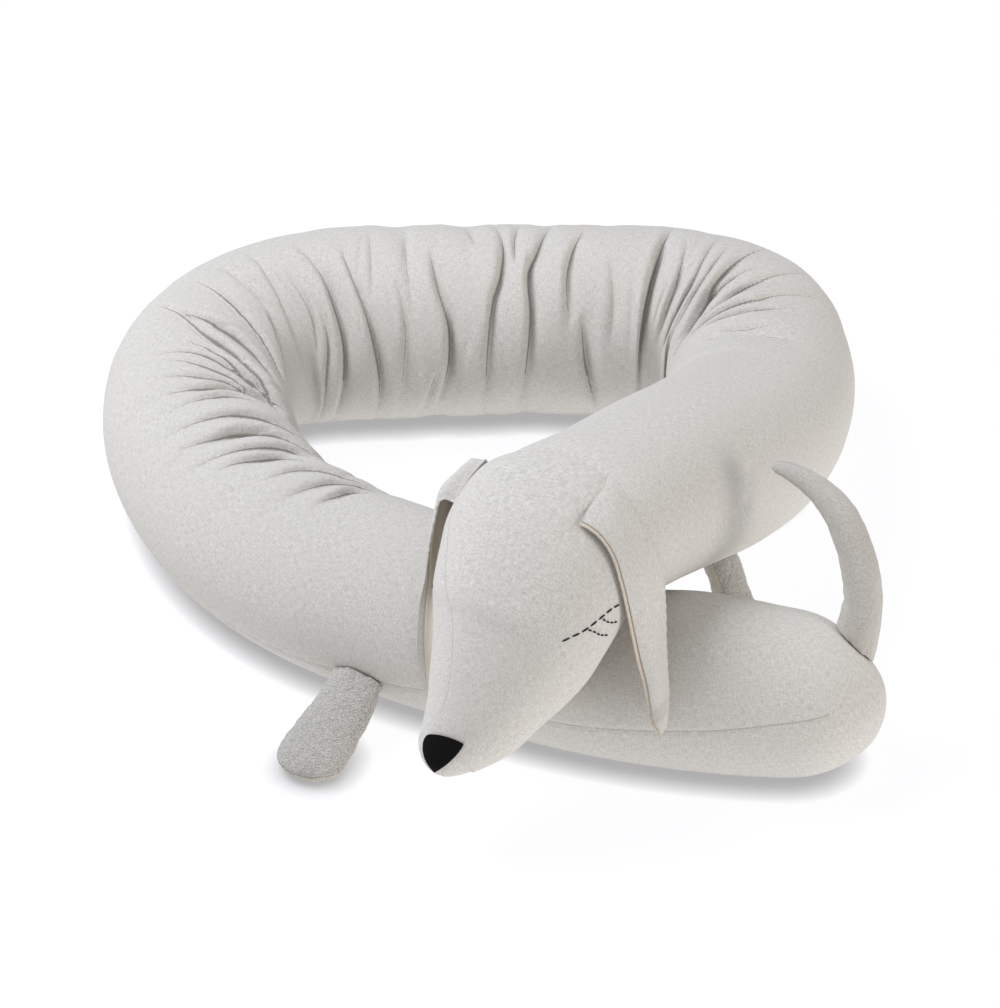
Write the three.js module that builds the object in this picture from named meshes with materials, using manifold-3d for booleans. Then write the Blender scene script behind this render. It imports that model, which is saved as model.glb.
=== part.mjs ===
// Dachshund-shaped crib bolster: one long stuffed tube of linen-look cloth, curled into a ring
// on the floor, with its neck lying over its own rump. Ears, legs, tail and nose are sewn on.
// Millimetres, +Z up. The head looks towards -Y. The origin is on the floor, in the middle of
// the object's own box.
import * as THREE from 'three';
import { mergeVertices } from 'three/addons/utils/BufferGeometryUtils.js';
import Module from 'manifold-3d';

// ---- driving sizes ------------------------------------------------------------------------
const EAR_CLOTH = 1.6; // one layer of an ear
const FELT = 1.4; // the nose patch
const GAP = 0.4; // between two pieces that are sewn together
const EAR_GAP = 0.7; // between the two layers of an ear
const RUMP_ROUND = 78; // length over which the rump rounds off
const NOSE_ROUND = 26; // length over which the snout rounds off
const FOOT_ROUND = 24; // length over which a foot rounds off
const TAIL_ROUND = 6; // length over which the tail's tip rounds off
const FOOT_REST = 13; // height of a foot's core above the floor

// The stuffed body from the tip of the rump to the tip of the nose, a row for each section.
// x, y and z are its core. The rest is how far the cloth stands from the core: to the dog's
// left, which is the outside of the ring, to its right, upwards and downwards.
const BODY = [
  { at: 'rump tip', x: 349, y: -249, z: 65, left: 64, right: 64, up: 56, down: 62 },
  { at: 'rump', x: 315, y: -256, z: 67, left: 75, right: 75, up: 66, down: 68 },
  { at: 'rump', x: 263, y: -257, z: 71, left: 81, right: 81, up: 74, down: 75 },
  { at: 'haunch', x: 179, y: -243, z: 74, left: 86, right: 86, up: 79, down: 80 },
  { at: 'under the neck', x: 91, y: -214, z: 68, left: 89, right: 89, up: 68, down: 76 },
  { at: 'under the head', x: 9, y: -181, z: 74, left: 90, right: 90, up: 76, down: 81 },
  { at: 'loin', x: -69, y: -142, z: 80, left: 94, right: 94, up: 87, down: 86 },
  { at: 'loin', x: -154, y: -90, z: 81, left: 94, right: 94, up: 88, down: 87 },
  { at: 'flank', x: -227, y: -20, z: 81, left: 90, right: 93, up: 88, down: 87 },
  { at: 'flank', x: -275, y: 68, z: 82, left: 90, right: 93, up: 88, down: 88 },
  { at: 'flank', x: -293, y: 160, z: 82, left: 95, right: 92, up: 88, down: 88 },
  { at: 'far left', x: -280, y: 246, z: 83, left: 102, right: 90, up: 90, down: 89 },
  { at: 'far left', x: -236, y: 308, z: 84, left: 104, right: 94, up: 91, down: 90 },
  { at: 'back', x: -165, y: 337, z: 85, left: 103, right: 109, up: 94, down: 92 },
  { at: 'back', x: -81, y: 343, z: 85, left: 101, right: 107, up: 95, down: 92 },
  { at: 'back', x: 10, y: 344, z: 85, left: 101, right: 101, up: 95, down: 92 },
  { at: 'back', x: 100, y: 343, z: 85, left: 101, right: 98, up: 95, down: 92 },
  { at: 'far right', x: 170, y: 335, z: 85, left: 105, right: 92, up: 95, down: 92 },
  { at: 'far right', x: 225, y: 302, z: 85, left: 116, right: 86, up: 94, down: 90 },
  { at: 'shoulder', x: 252, y: 243, z: 86, left: 99, right: 87, up: 91, down: 88 },
  { at: 'shoulder', x: 252, y: 172, z: 94, left: 92, right: 90, up: 90, down: 87 },
  { at: 'chest', x: 232, y: 93, z: 112, left: 91, right: 92, up: 90, down: 87 },
  { at: 'chest', x: 196, y: 6, z: 141, left: 91, right: 92, up: 91, down: 84 },
  { at: 'neck', x: 148, y: -90, z: 178, left: 90, right: 93, up: 91, down: 75 },
  { at: 'nape', x: 99, y: -176, z: 207, left: 87, right: 95, up: 87, down: 68 },
  { at: 'crown', x: 55, y: -240, z: 220, left: 86, right: 108, up: 86, down: 65 },
  { at: 'brow', x: 27, y: -283, z: 196, left: 86, right: 93, up: 84, down: 64 },
  { at: 'eyes', x: 9, y: -309, z: 165, left: 80, right: 76, up: 74, down: 61 },
  { at: 'muzzle', x: -10, y: -335, z: 136, left: 64, right: 56, up: 60, down: 52 },
  { at: 'muzzle', x: -28, y: -360, z: 111, left: 45, right: 43, up: 46, down: 42 },
  { at: 'nose', x: -46, y: -375, z: 97, left: 31, right: 30, up: 32, down: 31 },
  { at: 'nose', x: -58, y: -389, z: 82, left: 23, right: 22, up: 25, down: 25 },
];

// The tail, whose start is inside the rump. r is its radius.
const TAIL = [
  { x: 317, y: -247, z: 92, r: 21 },
  { x: 322, y: -240, z: 122, r: 22 },
  { x: 327, y: -231, z: 157, r: 20 },
  { x: 324, y: -222, z: 183, r: 19 },
  { x: 317, y: -210, z: 205, r: 18 },
  { x: 306, y: -197, z: 226, r: 17 },
  { x: 290, y: -182, z: 240, r: 14 },
  { x: 270, y: -166, z: 247, r: 11 },
  { x: 256, y: -155, z: 248, r: 9 },
  { x: 245, y: -147, z: 245, r: 6 },
];
const TAIL_ACROSS = new THREE.Vector3(0.73, 0.68, 0); // square to the plane it curls in

// A leg, from inside the body to the toes. out is the distance from its seam, lift the share
// of the seam's height that is left, half its half-width.
const LEG = [
  { out: -27, lift: 1.25, half: 27, up: 15, down: 15 },
  { out: 0, lift: 1, half: 27, up: 15, down: 15 },
  { out: 26, lift: 0.6, half: 31, up: 16, down: 16 },
  { out: 51, lift: 0.26, half: 37, up: 18, down: 17 },
  { out: 75, lift: 0.1, half: 40, up: 19, down: 17 },
  { out: 95, lift: 0.03, half: 38, up: 17, down: 16 },
  { out: 110, lift: 0, half: 31, up: 13, down: 13 },
];
// Where each leg's seam is, and which way it points, in degrees from +X.
const LEGS = {
  leg_hind_left: { x: -130, y: -211, z: 54, turn: -116, wide: 1 },
  leg_hind_right: { x: -45, y: -61, z: 54, turn: 63, wide: 1 },
  leg_front_left: { x: 211, y: -49, z: 64, turn: -62, wide: 0.72 },
  leg_front_right: { x: 138, y: -24, z: 64, turn: 180, wide: 0.72 },
};

// The ears from the seam on the head to the tip: the front edge, the rear edge, and how far
// the cloth between them bows away from the head.
const EAR_LEFT = [
  { fx: 69, fy: -300, fz: 289, rx: 95, ry: -241, rz: 301, bow: 3 },
  { fx: 84, fy: -307, fz: 281, rx: 107, ry: -255, rz: 294, bow: 4 },
  { fx: 97, fy: -313, fz: 263, rx: 122, ry: -271, rz: 273, bow: 5 },
  { fx: 105, fy: -320, fz: 239, rx: 136, ry: -276, rz: 247, bow: 6 },
  { fx: 111, fy: -323, fz: 212, rx: 143, ry: -277, rz: 218, bow: 7 },
  { fx: 116, fy: -325, fz: 185, rx: 145, ry: -282, rz: 187, bow: 7 },
  { fx: 121, fy: -326, fz: 157, rx: 146, ry: -296, rz: 162, bow: 6 },
  { fx: 127, fy: -328, fz: 133, rx: 148, ry: -309, rz: 141, bow: 5 },
  { fx: 132, fy: -332, fz: 108, rx: 150, ry: -320, rz: 121, bow: 4 },
  { fx: 136, fy: -337, fz: 95, rx: 149, ry: -331, rz: 106, bow: 3 },
  { fx: 139, fy: -338, fz: 85, rx: 146, ry: -336, rz: 88, bow: 1 },
];
const EAR_RIGHT = [
  { fx: -42.7, fy: -215, fz: 253, rx: -14, ry: -187, rz: 282, bow: 2 },
  { fx: -51, fy: -206, fz: 250, rx: -21, ry: -182, rz: 276, bow: 3 },
  { fx: -59, fy: -204, fz: 241, rx: -27, ry: -174, rz: 267, bow: 4 },
  { fx: -63, fy: -206, fz: 227, rx: -29, ry: -170, rz: 251, bow: 4 },
  { fx: -67, fy: -212, fz: 205, rx: -28, ry: -168, rz: 225, bow: 5 },
  { fx: -70, fy: -214, fz: 177, rx: -28, ry: -178, rz: 190, bow: 4 },
  { fx: -73, fy: -221, fz: 150, rx: -31, ry: -222, rz: 160, bow: 3 },
  { fx: -74, fy: -241, fz: 118, rx: -42, ry: -256, rz: 126, bow: 3 },
  { fx: -72, fy: -251, fz: 86, rx: -50, ry: -265, rz: 92, bow: 2 },
  { fx: -69, fy: -254, fz: 68, rx: -62, ry: -258, rz: 72, bow: 1 },
];

// The nose patch: its middle, which way it faces, and its outline as seen from there.
const NOSE = {
  middle: new THREE.Vector3(-52, -395, 112),
  facing: new THREE.Vector3(-0.45, -0.85, 0.26).normalize(),
  left: -15,
  right: 20,
  top: 13,
  tip: -5, // how far the low point is to the side
  low: -23,
  rise: 4, // how far the top edge bows up
  pinch: 6, // how far the side edges draw in at half height
  reach: 40, // depth of the cutter that trims the patch
};

// How finely each kind of piece is divided.
const BODY_MESH = { sides: 30, count: 96, endSteps: 6, startRound: RUMP_ROUND, endRound: NOSE_ROUND };
const TAIL_MESH = { sides: 12, count: 20, endSteps: 3, startRound: 4, endRound: TAIL_ROUND };
const LEG_MESH = { sides: 14, count: 12, endSteps: 4, startRound: 4, endRound: FOOT_ROUND };
const EAR_MESH = { across: 5, along: 21 };
const NOSE_CURVE_STEPS = 5;

// ---- stuffed forms ------------------------------------------------------------------------
const UP = new THREE.Vector3(0, 0, 1);

function curveThrough(rows, x, y, z, kind = 'catmullrom') {
  const points = rows.map((row) => new THREE.Vector3(row[x], row[y], row[z] ?? 0));
  return new THREE.CatmullRomCurve3(points, false, kind);
}

// A smooth line through the rows, followed by its length, with the sizes carried along it.
// The section's side lies level, unless across says which way it points.
function spineOf(rows, across) {
  const line = curveThrough(rows, 'x', 'y', 'z', 'centripetal');
  line.arcLengthDivisions = 600; // fine enough for steps of even length
  const widths = curveThrough(rows, 'left', 'right');
  const heights = curveThrough(rows, 'up', 'down');
  const at = (distance) => {
    const t = line.getUtoTmapping(0, distance);
    const ahead = line.getTangent(t);
    const side = across
      ? across.clone().addScaledVector(ahead, -across.dot(ahead)).normalize()
      : ahead.clone().cross(UP).normalize();
    const { x: left, y: right } = widths.getPoint(t);
    const { x: up, y: down } = heights.getPoint(t);
    const top = side.clone().cross(ahead);
    return { core: line.getPoint(t), ahead, side, top, left, right, up, down };
  };
  return { at, length: line.getLength() };
}

// Steps along a length: close together in the two rounded ends, even between them.
// Each has its distance from the start and how far the section is open there, from 0 to 1.
// end is -1 in the start's rounding, 1 in the end's.
function stepsOf(length, { count, endSteps, startRound, endRound }) {
  return Array.from({ length: count + 1 }, (_, i) => {
    if (i < endSteps) {
      const a = (i / endSteps) * (Math.PI / 2);
      return { distance: startRound * (1 - Math.cos(a)), open: Math.sin(a), end: -1 };
    }
    if (i > count - endSteps) {
      const a = ((count - i) / endSteps) * (Math.PI / 2);
      return { distance: length - endRound * (1 - Math.cos(a)), open: Math.sin(a), end: 1 };
    }
    const u = (i - endSteps) / (count - 2 * endSteps);
    return { distance: startRound + u * (length - startRound - endRound), open: 1, end: 0 };
  });
}

// A stuffed form: a sphere's rings laid along the spine, pressed flat where it meets the floor.
// grow makes it larger all round, for a tool that cuts other pieces to its shape.
function stuffed(rows, mesh, { across, grow = 0 } = {}) {
  const { sides, count } = mesh;
  const spine = spineOf(rows, across);
  const steps = stepsOf(spine.length, mesh);
  const geometry = new THREE.SphereGeometry(1, sides, count);
  const { position, uv } = geometry.attributes;
  for (let i = 0; i < position.count; i++) {
    const { distance, open, end } = steps[Math.round((1 - uv.getY(i)) * count)];
    const { core, ahead, side, top, left, right, up, down } = spine.at(distance);
    const a = 2 * Math.PI * (Math.round(uv.getX(i) * sides) % sides) / sides;
    core.addScaledVector(side, Math.cos(a) * open * ((Math.cos(a) > 0 ? right : left) + grow));
    core.addScaledVector(top, Math.sin(a) * open * ((Math.sin(a) > 0 ? up : down) + grow));
    core.addScaledVector(ahead, end * grow * Math.sqrt(1 - open * open));
    position.setXYZ(i, core.x, core.y, Math.max(core.z, -grow));
  }
  geometry.computeVertexNormals();
  return geometry;
}

function legRows({ x, y, z, turn, wide }) {
  const way = THREE.MathUtils.degToRad(turn);
  return LEG.map(({ out, lift, half, up, down }) => ({
    x: x + out * Math.cos(way),
    y: y + out * Math.sin(way),
    z: FOOT_REST + lift * (z - FOOT_REST),
    left: half * wide,
    right: half * wide,
    up,
    down,
  }));
}

// ---- ears ---------------------------------------------------------------------------------
// One layer of an ear: a thin box bent to the ear's rows. hand is 1 for the dog's left ear and
// -1 for its right. from and to are the layer's two faces, outwards from the ear's middle.
function earLayer(rows, hand, from, to) {
  const front = curveThrough(rows, 'fx', 'fy', 'fz');
  const rear = curveThrough(rows, 'rx', 'ry', 'rz');
  const bows = curveThrough(rows, 'bow', 'bow', 'bow');
  const outOf = (across, down) => across.cross(down).multiplyScalar(-hand).normalize();
  const middle = (u, v) => {
    const chord = rear.getPoint(v).sub(front.getPoint(v));
    const out = outOf(chord.clone(), front.getTangent(v).add(rear.getTangent(v)));
    const bow = bows.getPoint(v).x * 4 * u * (1 - u);
    return front.getPoint(v).addScaledVector(chord, u).addScaledVector(out, bow);
  };
  const step = 1e-3; // share of the sheet over which its slope is measured
  const geometry = new THREE.BoxGeometry(1, 1, 1, EAR_MESH.across, EAR_MESH.along, 1);
  const { position } = geometry.attributes;
  for (let i = 0; i < position.count; i++) {
    const u = 0.5 + hand * position.getX(i);
    const v = 0.5 - position.getY(i);
    const v0 = Math.max(v - step, 0);
    const across = middle(u + step, v).sub(middle(u - step, v));
    const down = middle(u, Math.min(v0 + 2 * step, 1)).sub(middle(u, v0));
    const depth = THREE.MathUtils.lerp(from, to, position.getZ(i) + 0.5);
    const point = middle(u, v).addScaledVector(outOf(across, down), depth);
    position.setXYZ(i, point.x, point.y, point.z);
  }
  geometry.computeVertexNormals();
  return geometry;
}

// ---- joining and cutting ------------------------------------------------------------------
const manifold = await Module();
manifold.setup();

function solidOf(geometry) {
  const bare = geometry.clone();
  bare.deleteAttribute('normal');
  bare.deleteAttribute('uv');
  const { attributes, index } = mergeVertices(bare, 1e-3); // within a micron
  return new manifold.Manifold(new manifold.Mesh({
    numProp: 3,
    vertProperties: new Float32Array(attributes.position.array),
    triVerts: new Uint32Array(index.array),
  }));
}

function geometryOf(solid) {
  const { vertProperties, triVerts } = solid.getMesh();
  const geometry = new THREE.BufferGeometry();
  geometry.setAttribute('position', new THREE.BufferAttribute(vertProperties, 3));
  geometry.setIndex(new THREE.BufferAttribute(triVerts, 1));
  geometry.computeVertexNormals();
  return geometry;
}

const bodyGrownBy = (grow) => solidOf(stuffed(BODY, BODY_MESH, { grow }));
const bodyAndGap = bodyGrownBy(GAP);

// ---- nose ---------------------------------------------------------------------------------
// The cutter is the patch's outline, pushed through the snout along the way the patch faces.
function noseCutter() {
  const { middle, facing, left, right, top, tip, low, rise, pinch, reach } = NOSE;
  const outline = new THREE.Shape();
  outline.moveTo(left, top);
  outline.quadraticCurveTo((left + right) / 2, top + rise, right, top);
  outline.quadraticCurveTo(right - pinch, (top + low) / 2, tip, low);
  outline.quadraticCurveTo(left - pinch, (top + low) / 2, left, top);
  const cutter = new THREE.ExtrudeGeometry(outline, {
    depth: reach,
    curveSegments: NOSE_CURVE_STEPS,
    bevelEnabled: false,
  });
  const across = UP.clone().cross(facing).normalize();
  cutter.translate(0, 0, -reach / 2);
  cutter.applyMatrix4(new THREE.Matrix4().makeBasis(across, facing.clone().cross(across), facing));
  cutter.translate(middle.x, middle.y, middle.z);
  return cutter;
}

// ---- the bolster --------------------------------------------------------------------------
const cloth = new THREE.MeshStandardMaterial({ color: '#cfccc6', roughness: 0.95 });
const lining = new THREE.MeshStandardMaterial({ color: '#d3cabd', roughness: 0.95 });
const felt = new THREE.MeshStandardMaterial({ color: '#111111', roughness: 0.9 });

const bolster = new THREE.Group();
function sew(name, geometry, material) {
  const mesh = new THREE.Mesh(geometry, material);
  mesh.name = name;
  bolster.add(mesh);
}
// Cuts a piece off where it reaches the body's cloth.
const trimmed = (geometry) => geometryOf(solidOf(geometry).subtract(bodyAndGap));

sew('body', stuffed(BODY, BODY_MESH), cloth);

const tailRows = TAIL.map(({ x, y, z, r }) => ({ x, y, z, left: r, right: r, up: r, down: r }));
sew('tail', trimmed(stuffed(tailRows, TAIL_MESH, { across: TAIL_ACROSS })), cloth);

for (const [name, seam] of Object.entries(LEGS)) {
  sew(name, trimmed(stuffed(legRows(seam), LEG_MESH)), cloth);
}

for (const [name, rows, hand] of [['ear_left', EAR_LEFT, 1], ['ear_right', EAR_RIGHT, -1]]) {
  sew(`${name}_outer`, earLayer(rows, hand, EAR_GAP / 2, EAR_GAP / 2 + EAR_CLOTH), cloth);
  sew(`${name}_lining`, earLayer(rows, hand, -EAR_GAP / 2 - EAR_CLOTH, -EAR_GAP / 2), lining);
}

const noseSkin = bodyGrownBy(GAP + FELT).subtract(bodyAndGap);
sew('nose', geometryOf(noseSkin.intersect(solidOf(noseCutter()))), felt);

const middle = new THREE.Box3().setFromObject(bolster).getCenter(new THREE.Vector3());
bolster.position.set(-middle.x, -middle.y, 0);

const part = new THREE.Group();
part.add(bolster);
export default part;
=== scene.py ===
# A long stuffed bolster shaped as a sleeping dachshund, curled into a ring on a pale floor.
# Its cover is light grey linen-look cloth, its ears are lined with cream cotton, its nose is
# black felt and its closed eyes are running stitches.
# Places on the body are (along, around): how far from the tip of the rump, in mm, and the
# angle round the section, in degrees: 0 is inside the ring, 90 on top, 180 outside it.
import bpy
import bmesh
import math
import random
import numpy as np
from mathutils import Matrix, Vector, noise
from mathutils.bvhtree import BVHTree


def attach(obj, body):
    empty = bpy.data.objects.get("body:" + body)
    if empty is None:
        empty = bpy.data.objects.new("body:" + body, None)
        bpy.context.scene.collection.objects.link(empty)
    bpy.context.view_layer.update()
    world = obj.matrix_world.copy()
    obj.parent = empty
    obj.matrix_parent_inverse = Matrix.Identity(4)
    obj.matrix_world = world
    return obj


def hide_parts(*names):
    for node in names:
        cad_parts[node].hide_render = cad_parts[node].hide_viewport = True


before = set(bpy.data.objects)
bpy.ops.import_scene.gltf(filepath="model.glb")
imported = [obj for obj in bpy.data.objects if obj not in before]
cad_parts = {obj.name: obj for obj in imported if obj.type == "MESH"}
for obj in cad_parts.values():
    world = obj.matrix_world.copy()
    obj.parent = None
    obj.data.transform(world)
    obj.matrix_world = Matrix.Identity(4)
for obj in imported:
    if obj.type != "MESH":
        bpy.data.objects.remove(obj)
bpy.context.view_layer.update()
mm = 0.001
scene = bpy.context.scene


def linear(hexColour):
    # sRGB hex to the linear values that Blender's sockets take
    parts = [int(hexColour[i:i + 2], 16) / 255 for i in (1, 3, 5)]
    return [p / 12.92 if p <= 0.04045 else ((p + 0.055) / 1.055) ** 2.4 for p in parts] + [1.0]


def addNode(material, kind, settings=None, **links):
    # adds a node: settings go to its properties or sockets, links join its inputs
    tree = material.node_tree
    node = tree.nodes.new("ShaderNode" + kind)
    for name, value in (settings or {}).items():
        if isinstance(name, str) and hasattr(node, name):
            setattr(node, name, value)
        else:
            node.inputs[name].default_value = value
    for name, source in links.items():
        socket = node.inputs[int(name[1:])] if name[0] == "_" else node.inputs[name.replace("_", " ")]
        tree.links.new(source, socket)
    return node


def newObject(name, bm):
    mesh = bpy.data.meshes.new(name)
    bm.to_mesh(mesh)
    bm.free()
    piece = bpy.data.objects.new(name, mesh)
    scene.collection.objects.link(piece)
    return piece


def finishPiece(piece, material, replaced=()):
    piece.data.materials.clear()
    piece.data.materials.append(material)
    for face in piece.data.polygons:
        face.use_smooth = True
    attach(piece, "root")
    if replaced:
        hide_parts(*replaced)


def pointsOf(mesh, word="co"):
    # every point's place, or its normal
    flat = np.empty(len(mesh.vertices) * 3, np.float32)
    mesh.vertices.foreach_get(word, flat)
    return flat.reshape(-1, 3).astype(float)


def applyModifiers(piece):
    graph = bpy.context.evaluated_depsgraph_get()
    done = bpy.data.meshes.new_from_object(piece.evaluated_get(graph))
    piece.modifiers.clear()
    piece.data = done


def runCloth(piece, frames, **given):
    # blows a closed skin up for a few frames, with its group "held" pinned, and gives its places
    cloth = piece.modifiers.new("cloth", "CLOTH")
    settings = cloth.settings
    settings.quality = 5
    settings.use_pressure = True
    settings.effector_weights.gravity = 0
    settings.vertex_group_mass = "held"
    for word, value in given.items():
        setattr(settings, word, value)
    cloth.point_cache.frame_end = frames
    for number in range(1, frames + 1):
        scene.frame_set(number)
    settled = pointsOf(piece.evaluated_get(bpy.context.evaluated_depsgraph_get()).data)
    piece.modifiers.clear()
    scene.frame_set(1)
    return settled


def weightPoints(piece, word, weights):
    group = piece.vertex_groups.new(name=word)
    for i, weight in enumerate(weights):
        group.add([i], float(weight), "REPLACE")


def softStep(value, low, high):
    t = np.clip((value - low) / (high - low), 0, 1)
    return t * t * (3 - 2 * t)


studio = {
    "target": (0.0192, -0.0215, 0.1), "elevation": 35, "distance": 4.5, "lens": 169.55,
    "floorSize": 14, "ambient": 0.37, "ambientColour": "#fbfcff",
    "keyPower": 117, "keySize": 2.0, "keyPlace": (-1.9, 0.5, 3.4), "keyColour": "#f4f8ff",
    "fillPower": 50, "fillSize": 2.0, "fillPlace": (3.3, -1.9, 1.0), "fillColour": "#fffaf2",
    "floorColour": "#565656", "floorGlow": 0.95, "glowColour": "#fdfdff",
    # painted contact shadow: how near the bolster the floor's glow is dimmed, in metres, and by what share
    "paintedShadowReach": 0.025, "paintedShadowShare": 0.58,
}


def makeStudio():
    up = math.radians(studio["elevation"])
    target = Vector(studio["target"])
    away = Vector((0, -math.cos(up), math.sin(up))) * studio["distance"]
    lens = bpy.data.cameras.new("camera")
    lens.lens, lens.sensor_width = studio["lens"], 36
    camera = bpy.data.objects.new("camera", lens)
    camera.location = target + away
    camera.rotation_euler = (-away).to_track_quat("-Z", "Y").to_euler()
    scene.collection.objects.link(camera)
    scene.camera = camera
    for name in ("key", "fill"):
        lamp = bpy.data.lights.new(name, "AREA")
        lamp.shape, lamp.size, lamp.energy = "DISK", studio[name + "Size"], studio[name + "Power"]
        lamp.color = linear(studio[name + "Colour"])[:3]
        light = bpy.data.objects.new(name, lamp)
        light.location = studio[name + "Place"]
        light.rotation_euler = (target - light.location).to_track_quat("-Z", "Y").to_euler()
        scene.collection.objects.link(light)
    world = bpy.data.worlds.new("studio")
    world.use_nodes = True
    sky = world.node_tree.nodes["Background"]
    sky.inputs["Color"].default_value = linear(studio["ambientColour"])
    sky.inputs["Strength"].default_value = studio["ambient"]
    scene.world = world
    scene.view_settings.view_transform = "Standard"
    bm = bmesh.new()
    bmesh.ops.create_grid(bm, x_segments=1, y_segments=1, size=studio["floorSize"] / 2)
    floor = newObject("floor", bm)
    # a matt white acrylic table lit softly from below: pale, with faint soft shadows from the lamps and a
    # painted contact shadow close under the bolster
    paper = bpy.data.materials.new("lit_table")
    paper.use_nodes = True
    surface = paper.node_tree.nodes["Principled BSDF"]
    surface.inputs["Base Color"].default_value = linear(studio["floorColour"])
    surface.inputs["Roughness"].default_value = 0.95
    surface.inputs["Specular IOR Level"].default_value = 0.0
    surface.inputs["Emission Color"].default_value = linear(studio["glowColour"])
    # painted contact shadow: the glow is dimmed close under the bolster, where the table's face is shut in
    openness = addNode(paper, "AmbientOcclusion", {"samples": 16, "Distance": studio["paintedShadowReach"]}).outputs["AO"]
    low = studio["floorGlow"] * (1 - studio["paintedShadowShare"])
    glow = addNode(paper, "MapRange", {"From Min": 0.25, "From Max": 0.95, "To Min": low,
                                       "To Max": studio["floorGlow"]}, Value=openness)
    paper.node_tree.links.new(glow.outputs["Result"], surface.inputs["Emission Strength"])
    floor.data.materials.append(paper)


makeStudio()
print("studio ready")


body = {
    "cadSides": 30, "sides": 210, "rings": 1300,
    "simSides": 100, "simRings": 320, "simFrames": 20, "seed": 1.5, "pressure": 4,
    "springs": 25, "bending": 3.0, "pinStiffness": 1.0, "slackMiddle": 35, "girth": 565,
    "evenAlong": 0.5, "evenAround": 3.5, "swellAlong": 7, "foldGain": 1.2, "foldHigh": 8 * mm, "foldSharp": 0.6,
    "handGain": 1.3, "lip": 0.35, "drop": 0.5, "valley": 0.4, "seedNumber": 7, "topCalm": 0.35,
    # first and last place along, spacing, lowest and highest middle round, depth in mm
    "scattered": [(560, 1000, 20, 30, 95, 2.4), (1000, 1420, 22, -10, 80, 2.2), (1420, 1640, 16, 25, 100, 2.6)],
}
# Where the cover was cut longer than the curl leaves room for on the ring's inside, so that it
# creases: how far along, and by what share.
slackCloth = [
    (0, 0.0), (480, 0.0), (640, 0.05), (800, 0.08), (1000, 0.1), (1400, 0.1), (1560, 0.12),
    (1640, 0.08), (1760, 0.0), (2400, 0.0),
]
# The main creases, each a line of places (along, around), with its depth and width in mm and
# the side on which the cloth drops.
creases = [
    (((1045, 98), (1060, 72), (1065, 48), (1067, 20), (1056, -20), (1046, -55)), 9, 13, -1),
    (((1087, 86), (1094, 63), (1112, 33), (1122, 8), (1124, -14), (1116, -55)), 9, 13, -1),
    (((978, 106), (968, 81), (948, 56), (897, 33), (830, 12)), 9, 14, -1),
    (((924, 128), (896, 102), (862, 82), (840, 68), (796, 48), (760, 32)), 9.6, 16, 1),
    (((862, 102), (832, 78), (803, 60), (768, 40)), 6, 13, 1),
    (((902, 106), (880, 76), (862, 58), (828, 34)), 8.4, 14, 1),
    (((780, 118), (776, 88), (780, 68), (772, 46), (746, 28)), 9.6, 16, 1),
    (((752, 120), (756, 98), (758, 76), (748, 56)), 4.8, 13, 1),
    (((830, 110), (813, 88), (798, 72), (772, 50)), 6, 13, 1),
    (((704, 124), (694, 104), (690, 86), (675, 62), (640, 42)), 8.4, 17, 1),
    (((656, 116), (647, 93), (636, 72), (604, 58)), 7.2, 16, 1),
    (((552, 102), (546, 84), (543, 68), (526, 54)), 4.8, 12, 1),
    (((612, 104), (596, 76), (568, 60), (540, 48)), 4.8, 13, 1),
    (((1176, 80), (1184, 56), (1195, 33), (1196, 12), (1190, -8), (1178, -40)), 10, 13, -1),
    (((1182, 6), (1174, -10), (1166, -36)), 6, 9, -1),
    (((1042, 52), (1045, 27), (1028, -2), (1022, -50)), 5, 10, -1),
    (((1018, 74), (1027, 46), (1012, 20)), 4, 9, -1),
    (((1141, 66), (1151, 34), (1149, 2), (1144, -30)), 3.5, 13, -1),
    (((1117, 106), (1117, 75), (1116, 50)), 3, 10, -1),
    (((1151, 104), (1154, 68), (1158, 38)), 3, 10, -1),
    (((1238, 118), (1250, 88), (1248, 63), (1240, 44), (1235, 14), (1232, -40)), 9, 12, -1),
    (((1212, 112), (1218, 98), (1222, 84)), 3.5, 8, -1),
    (((1299, 116), (1285, 84), (1275, 64), (1277, 36), (1272, 0), (1266, -42)), 9, 12, -1),
    (((1266, 116), (1262, 94), (1262, 70)), 5, 9, -1),
    (((1332, 104), (1319, 78), (1314, 58), (1317, 32)), 7, 11, -1),
    (((1330, 38), (1334, 9), (1339, -6), (1348, -30)), 8, 11, -1),
    (((1357, 74), (1362, 48), (1360, 20)), 3, 10, -1),
    (((1411, 118), (1408, 78), (1405, 46), (1403, 20), (1402, -20)), 10, 13, -1),
    (((1446, 122), (1460, 88), (1474, 54), (1464, 18)), 5, 11, -1),
    (((1478, 128), (1489, 98), (1504, 72), (1529, 50), (1560, 26)), 9, 13, -1),
    (((1503, 110), (1509, 86), (1514, 64), (1536, 42), (1556, 18)), 5, 9, -1),
    (((1508, 138), (1522, 106), (1536, 82), (1552, 60), (1564, 34)), 7, 11, -1),
    (((1572, 120), (1588, 92), (1593, 72), (1588, 46)), 5, 10, -1),
    (((1428, 104), (1446, 60), (1446, 26)), 5, 10, -1),
    (((1620, 108), (1632, 84), (1628, 62)), 3, 11, -1),
    (((1538, 142), (1552, 112), (1568, 86), (1578, 62), (1580, 34)), 6, 13, -1),
    (((1640, 126), (1648, 98), (1644, 70), (1626, 46)), 4, 13, -1),
    (((1462, 112), (1478, 84), (1496, 56), (1512, 30)), 5, 12, -1),
    (((728, 128), (722, 104), (716, 80), (702, 56), (680, 34)), 6, 17, 1),
    (((806, 116), (796, 92), (788, 70), (772, 44)), 6, 16, 1),
    (((680, 130), (668, 106), (656, 84), (640, 62), (612, 46)), 6, 17, 1),
    (((582, 110), (572, 88), (562, 70), (540, 52), (520, 40)), 4.8, 16, 1),
    (((846, 120), (836, 96), (818, 74), (790, 48), (768, 30)), 6, 16, 1),
    (((956, 118), (940, 92), (916, 66), (880, 42), (846, 24)), 6, 16, 1),
    (((1008, 112), (1002, 88), (990, 62), (968, 34), (944, 6)), 4, 12, -1),
]
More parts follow.
